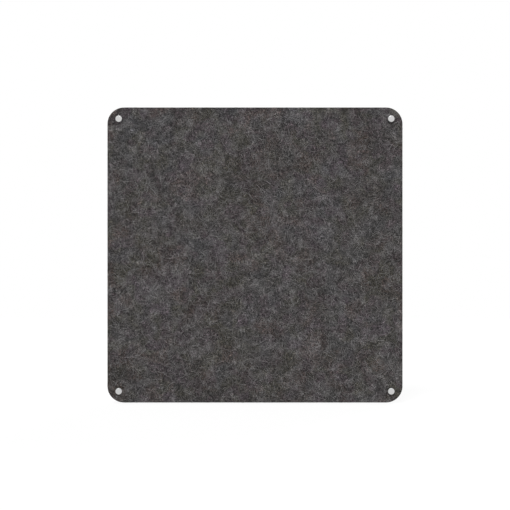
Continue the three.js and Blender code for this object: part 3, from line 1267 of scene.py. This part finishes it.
def moulded(name, colour, roughness, grain, **values):
    """A moulded plastic or rubber: a fine grain in the bump, and slight changes of its looks."""
    finish, wire = new_finish(name)
    place = lathe_place(wire)
    fine = cloud(wire, place, grain, SEEDS["grain"], FINE_DETAIL)
    slow = cloud(wire, place, SHADE_SIZE, SEEDS["plastic"]) - MIDDLE
    light = 1.0 + slow * SHADE_SHARE + (fine - MIDDLE) * GRAIN_SHADE
    surface(wire, {
        "Base Color": dimmed(wire, colour, light),
        "Roughness": roughness + (fine - MIDDLE) * GRAIN_GLOSS,
        "Normal": bumped(wire, GRAIN_STRENGTH, GRAIN_HEIGHT, fine),
        **values,
    })
    return finish


MILKY = {"Transmission Weight": 0.35}
DULL = {"Specular IOR Level": 0.3}
milky = moulded("milky plastic", (0.72, 0.74, 0.73), roughness=0.32, grain=0.8 * MM, **MILKY)
rubber = moulded("black rubber", (0.013, 0.013, 0.014), roughness=0.72, grain=0.3 * MM, **DULL)
nylon = moulded("grey nylon", (0.33, 0.34, 0.35), roughness=0.48, grain=0.5 * MM)

# %% [markdown]
# ## A piece for each corner
#
# The four fixings are the same, so each piece is made once, on the axis, and copied to the corners.
# The copy's points are moved, not its object, so that every finished piece has its origin in the
# same place as the frame.


# %% Copy a piece to the corners
def at_every_corner(name, mesh, node, slot, finish):
    """Puts a copy of a turned mesh at each corner, in place of the frame's piece there."""
    finished(mesh)
    for corner in CORNERS:
        copy = mesh.copy()
        copy.name = f"{name}_{corner}"
        places = np.empty(3 * len(copy.vertices))
        copy.vertices.foreach_get("co", places)
        copy.attributes.new("lathe", "FLOAT_VECTOR", "POINT").data.foreach_set("vector", places)
        x, z = axes[corner]
        copy.vertices.foreach_set("co", (places.reshape(-1, 3) + (x, 0.0, z)).ravel())
        copy.update()
        piece = show(copy.name, copy, slot, finish)
        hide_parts(f"{node}_{corner}")


# %% [markdown]
# ## Cap and stud
#
# Cap and stud are turned from one bar. The cap is a plain disc with a small chamfer, softened by
# the polish. A groove behind it lets the thread of the stud run out before the shoulder. One
# section runs from the middle of the cap to the tip of the stud, so that nothing has to be joined.

# %% Turn the caps
TURNED_SIDES = 80
STUD_RADIUS = 5 * MM
STUD_CHAMFER = 1 * MM
GROOVE_DEPTH = 0.9 * MM
GROOVE_LENGTH = 1.2 * MM
CAP_CHAMFER = 0.5 * MM
BACK_CHAMFER = 0.25 * MM
SHARP_EASE = 0.12 * MM
SOFT_EASE = 0.22 * MM
STUD_PITCH = 1.5 * MM
STUD_THREAD_DEPTH = 0.86 * MM
CREST_SHARE = 0.12
ROWS_PER_PITCH = 8
STUD_ROW = STUD_PITCH / ROWS_PER_PITCH

cap_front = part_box("cap_top_left")[0].y
stud_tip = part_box("cap_top_left")[1].y
cap_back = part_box("front_washer_top_left")[0].y
thread_start = cap_back + GROOVE_LENGTH
stud_taper = stud_tip - STUD_CHAMFER

cap_section = eased([
    (0.0, cap_front, 0.0),
    (bar_radius - CAP_CHAMFER, cap_front, SOFT_EASE),
    (bar_radius, cap_front + CAP_CHAMFER, SOFT_EASE),
    (bar_radius, cap_back - BACK_CHAMFER, SHARP_EASE),
    (bar_radius - BACK_CHAMFER, cap_back, SHARP_EASE),
    (STUD_RADIUS - GROOVE_DEPTH, cap_back, SHARP_EASE),
    (STUD_RADIUS - GROOVE_DEPTH, thread_start - GROOVE_DEPTH / 2, SHARP_EASE),
    (STUD_RADIUS, thread_start, 0.0),
    (STUD_RADIUS, stud_taper, SHARP_EASE),
    (STUD_RADIUS - STUD_CHAMFER, stud_tip, SHARP_EASE),
    (0.0, stud_tip, 0.0),
])
stud_thread = thread(
    thread_start, stud_tip, STUD_PITCH, STUD_THREAD_DEPTH, CREST_SHARE, outer=STUD_RADIUS + TINY,
)
cap_section = refined(cap_section, thread_start, stud_taper, STUD_ROW)
cap = turned("cap", cap_section, TURNED_SIDES, stud_thread)
at_every_corner("turned_cap", cap, "cap", "cap_metal", aluminium)

# %% [markdown]
# ## Washers
#
# A thin milky washer under the cap keeps the metal off the felt. Behind the felt a black rubber
# washer bulges a little under the clamping force, so its rim is rounder. Both are flat rings, so one
# function turns them, each between the planes of its own piece in the frame.

# %% Turn the washers
WASHER_BORE = 5.3 * MM
WASHER_EASE = 0.18 * MM
WASHER_BULGE = 0.02 * MM
RUBBER_BULGE = 0.25 * MM
RUBBER_EASE = 0.4 * MM


def washer(name, node, outer, ease, bulge):
    """A flat ring between the planes of the frame's washer, whose rim stands out by the bulge."""
    low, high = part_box(f"{node}_top_left")
    middle = (low.y + high.y) / 2
    section = eased([
        (WASHER_BORE, low.y, WASHER_EASE),
        (outer, low.y, ease),
        (outer + bulge, middle, ease),
        (outer, high.y, ease),
        (WASHER_BORE, high.y, WASHER_EASE),
    ])
    return turned(name, section, TURNED_SIDES)


clear_washer = washer(
    "clear_washer", "front_washer", front_washer_radius, WASHER_EASE, WASHER_BULGE,
)
at_every_corner("milky_washer", clear_washer, "front_washer", "clear_washer", milky)
rubber_radius = bar_radius - RUBBER_BULGE / 2
rubber_washer = washer("rubber_washer", "rear_washer", rubber_radius, RUBBER_EASE, RUBBER_BULGE)
at_every_corner("black_washer", rubber_washer, "rear_washer", "rubber_washer", rubber)

# %% [markdown]
# ## Spacers
#
# The spacer is a short piece of the same bar. From the front it has a threaded blind bore for the
# stud. Its floor has a countersunk hole for the wall screw, and its foot is bored out to clear the
# plug's rim. All of this is round, so it fits in one section and nothing has to be cut out
# afterwards.

# %% Turn the spacers
THREAD_PLAY = 0.15 * MM
BORE_FLOOR = -4.0 * MM
SEAT_BOTTOM = -1.7 * MM
SEAT_RADIUS = 4.2 * MM
SEAT_MOUTH = 0.4 * MM
RECESS_FLOOR = -1.1 * MM
RECESS_RADIUS = 5.0 * MM
SCREW_HOLE_RADIUS = 2.3 * MM
MOUTH_CHAMFER = 0.8 * MM
SPACER_CHAMFER = 0.4 * MM

spacer_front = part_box("spacer_top_left")[0].y
bore_radius = STUD_RADIUS + THREAD_PLAY
bore_start = spacer_front + MOUTH_CHAMFER
bore_thread_end = BORE_FLOOR - STUD_PITCH
spacer_section = eased([
    (SCREW_HOLE_RADIUS, RECESS_FLOOR, SHARP_EASE),
    (SCREW_HOLE_RADIUS, SEAT_BOTTOM, 0.0),
    (SEAT_RADIUS, BORE_FLOOR + SEAT_MOUTH, 0.0),
    (SEAT_RADIUS, BORE_FLOOR, SHARP_EASE),
    (bore_radius, BORE_FLOOR, SHARP_EASE),
    (bore_radius, bore_start, 0.0),
    (bore_radius + MOUTH_CHAMFER, spacer_front, SHARP_EASE),
    (bar_radius - SPACER_CHAMFER, spacer_front, SHARP_EASE),
    (bar_radius, spacer_front + SPACER_CHAMFER, SHARP_EASE),
    (bar_radius, -SPACER_CHAMFER, SHARP_EASE),
    (bar_radius - SPACER_CHAMFER, 0.0, SHARP_EASE),
    (RECESS_RADIUS, 0.0, SHARP_EASE),
    (RECESS_RADIUS, RECESS_FLOOR, SHARP_EASE),
])
inner_thread = thread(
    spacer_front, bore_thread_end, STUD_PITCH, STUD_THREAD_DEPTH, CREST_SHARE,
    inner=STUD_RADIUS, outer=bore_radius + TINY,
)
spacer_section = refined(spacer_section, bore_start, bore_thread_end, STUD_ROW)
spacer = turned("spacer", spacer_section, TURNED_SIDES, inner_thread)
at_every_corner("turned_spacer", spacer, "spacer", "spacer_metal", aluminium)

# %% [markdown]
# ## Wall screws
#
# The screw is a common countersunk wood screw: a plain shank under the head, a coarse sharp thread
# and a tapered point. The cross recess in its head is the one part that isn't round, so a Boolean
# modifier cuts it with two crossed wedges.

# %% Turn the wall screws
SCREW_SIDES = 48
SCREW_HEAD_RADIUS = 3.9 * MM
SCREW_HEAD_RIM = 0.4 * MM
SCREW_NECK_EASE = 0.48 * MM
SCREW_RADIUS = 2.0 * MM
SHANK_RADIUS = 1.5 * MM
SCREW_PITCH = 1.8 * MM
SCREW_ROW = SCREW_PITCH / ROWS_PER_PITCH
SCREW_THREAD_START = 8.0 * MM
POINT_LENGTH = 6.0 * MM
POINT_RADIUS = 0.25 * MM
SCREW_THREAD_DEPTH = 0.62 * MM
SCREW_CREST_SHARE = 0.06
DEEPEST_SHARE = 1 / 3
DRIVE_SPAN = 4.4 * MM
DRIVE_ROOT_SPAN = 1.6 * MM
DRIVE_WIDTH = 0.9 * MM
DRIVE_DEPTH = 1.7 * MM

screw_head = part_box("wall_screw_top_left")[0].y
screw_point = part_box("wall_screw_top_left")[1].y
screw_section = eased([
    (0.0, screw_head, 0.0),
    (SCREW_HEAD_RADIUS, screw_head, SHARP_EASE),
    (SCREW_HEAD_RADIUS, screw_head + SCREW_HEAD_RIM, SHARP_EASE),
    (SHANK_RADIUS, screw_head + SCREW_HEAD_RIM + SCREW_HEAD_RADIUS - SHANK_RADIUS, SCREW_NECK_EASE),
    (SHANK_RADIUS, SCREW_THREAD_START - SCREW_PITCH / 2, 0.0),
    (SCREW_RADIUS, SCREW_THREAD_START, 0.0),
    (SCREW_RADIUS, screw_point - POINT_LENGTH, 0.0),
    (POINT_RADIUS, screw_point, 0.0),
    (0.0, screw_point, 0.0),
])


def screw_cut(radius, depth, turn):
    """The thread gets shallower with the point, so that it never reaches the axis."""
    deepest = min(SCREW_THREAD_DEPTH, radius * DEEPEST_SHARE)
    cut = thread(SCREW_THREAD_START, screw_point, SCREW_PITCH, deepest, SCREW_CREST_SHARE)
    return cut(radius, depth, turn)


screw_section = refined(screw_section, SCREW_THREAD_START, screw_point, SCREW_ROW)
screw_blank = turned("screw", screw_section, SCREW_SIDES, screw_cut)


# %% Cut shapes out of a mesh
def block(name, near, far):
    """A closed block between two ends that have as many corners as each other."""
    count = len(near)
    ends = [range(count)[::-1], range(count, 2 * count)]
    walls = [(here, after, count + after, count + here) for here, after in closed_loop(0, count)]
    mesh = bpy.data.meshes.new(name)
    mesh.from_pydata([*near, *far], [], [*ends, *walls])
    return mesh


def wedge(name, front, back, front_size, back_size):
    """A block along Y whose (width, height) may differ between its two ends."""
    ends = []
    for depth, (width, height) in ((front, front_size), (back, back_size)):
        ends.append([(x * width / 2, depth, z * height / 2) for x, z in SQUARE])
    return block(name, *ends)


def combined(mesh, tool, operation):
    """The result of a Boolean modifier on a mesh, as a plain mesh."""
    base = placed(mesh.name, finished(mesh))
    other = placed(tool.name, finished(tool))
    modifier = base.modifiers.new("cut", "BOOLEAN")
    modifier.operation = operation
    modifier.object = other
    result = as_left_by_modifiers(base)
    result.name = mesh.name
    bpy.data.objects.remove(other)
    return result


# %% Cut the drive and place the screws
OVERRUN = 0.5 * MM

drive_bottom = screw_head + DRIVE_DEPTH
drive_slope = (DRIVE_SPAN - DRIVE_ROOT_SPAN) / DRIVE_DEPTH
drive_mouth = DRIVE_SPAN + drive_slope * OVERRUN
screw = screw_blank
for turned_wedge in (False, True):
    mouth = (drive_mouth, DRIVE_WIDTH)
    root = (DRIVE_ROOT_SPAN, DRIVE_WIDTH)
    if turned_wedge:
        mouth, root = mouth[::-1], root[::-1]
    drive = wedge("drive", screw_head - OVERRUN, drive_bottom, mouth, root)
    screw = combined(screw, drive, "DIFFERENCE")
at_every_corner("zinc_screw", screw, "wall_screw", "screw_zinc", zinc)

# %% [markdown]
# ## Wall plugs
#
# The nylon plug is moulded: a sleeve with a thin rim, sloping teeth along its legs, two slots that
# part the legs, and two fins on the collar that stop it from turning in its hole. The sleeve with
# its rim and teeth is round and comes from a section. The slots and fins aren't, so Boolean
# modifiers cut the slots and join the fins on.

# %% Mould the plugs
PLUG_SIDES = 48
PLUG_RADIUS = 3.1 * MM
PLUG_BORE_RADIUS = 2.1 * MM
PLUG_RIM_RADIUS = 4.0 * MM
PLUG_COLLAR = 9 * MM
PLUG_TIP = 3 * MM
PLUG_TIP_WALL = 0.35 * MM
TOOTH_COUNT = 5
TOOTH_DEPTH = 0.3 * MM
TOOTH_RISE_SHARE = 0.85
SLOT_WIDTH = 0.9 * MM
FIN_HEIGHT = 0.7 * MM
FIN_THICKNESS = 0.8 * MM
FIN_TURNS = (-QUARTER / 2, 3 * QUARTER / 2)
FINE_EASE = 0.08 * MM

plug_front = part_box("wall_plug_top_left")[0].y
plug_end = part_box("wall_plug_top_left")[1].y
legs_end = plug_end - PLUG_TIP
tooth_pitch = (legs_end - PLUG_COLLAR) / TOOTH_COUNT
teeth = []
for number in range(TOOTH_COUNT):
    tooth = PLUG_COLLAR + number * tooth_pitch
    teeth.append((PLUG_RADIUS, tooth, FINE_EASE))
    teeth.append((PLUG_RADIUS - TOOTH_DEPTH, tooth + TOOTH_RISE_SHARE * tooth_pitch, FINE_EASE))
plug_section = eased([
    (PLUG_BORE_RADIUS, plug_front, FINE_EASE),
    (PLUG_RIM_RADIUS, plug_front, SHARP_EASE),
    (PLUG_RIM_RADIUS, 0.0, SHARP_EASE),
    (PLUG_RADIUS, 0.0, FINE_EASE),
    *teeth,
    (PLUG_RADIUS, legs_end, FINE_EASE),
    (PLUG_BORE_RADIUS + PLUG_TIP_WALL, plug_end, FINE_EASE),
    (PLUG_BORE_RADIUS, plug_end, FINE_EASE),
])
plug = turned("plug", plug_section, PLUG_SIDES)


# %% Slot the legs, add the fins and place the plugs
def fin_block(turn):
    """A fin on the collar, at this angle about the axis. It slopes down towards the tip."""
    root = (PLUG_RADIUS + PLUG_BORE_RADIUS) / 2
    crest = PLUG_RADIUS + FIN_HEIGHT
    half = FIN_THICKNESS / 2
    side = [(root, 0.0), (crest, 0.0), (crest, PLUG_COLLAR - FIN_HEIGHT), (root, PLUG_COLLAR)]
    heading = complex(math.cos(turn), math.sin(turn))
    ends = []
    for across in (-half, half):
        places = [(complex(reach, across) * heading, depth) for reach, depth in side]
        ends.append([(place.real, depth, place.imag) for place, depth in places])
    return block("fin", *ends)


slot_span = 2 * (PLUG_RADIUS + OVERRUN)
for slot_size in ((slot_span, SLOT_WIDTH), (SLOT_WIDTH, slot_span)):
    slot = wedge("slot", PLUG_COLLAR, legs_end, slot_size, slot_size)
    plug = combined(plug, slot, "DIFFERENCE")
for turn in FIN_TURNS:
    plug = combined(plug, fin_block(turn), "UNION")
at_every_corner("nylon_plug", plug, "wall_plug", "plug_nylon", nylon)
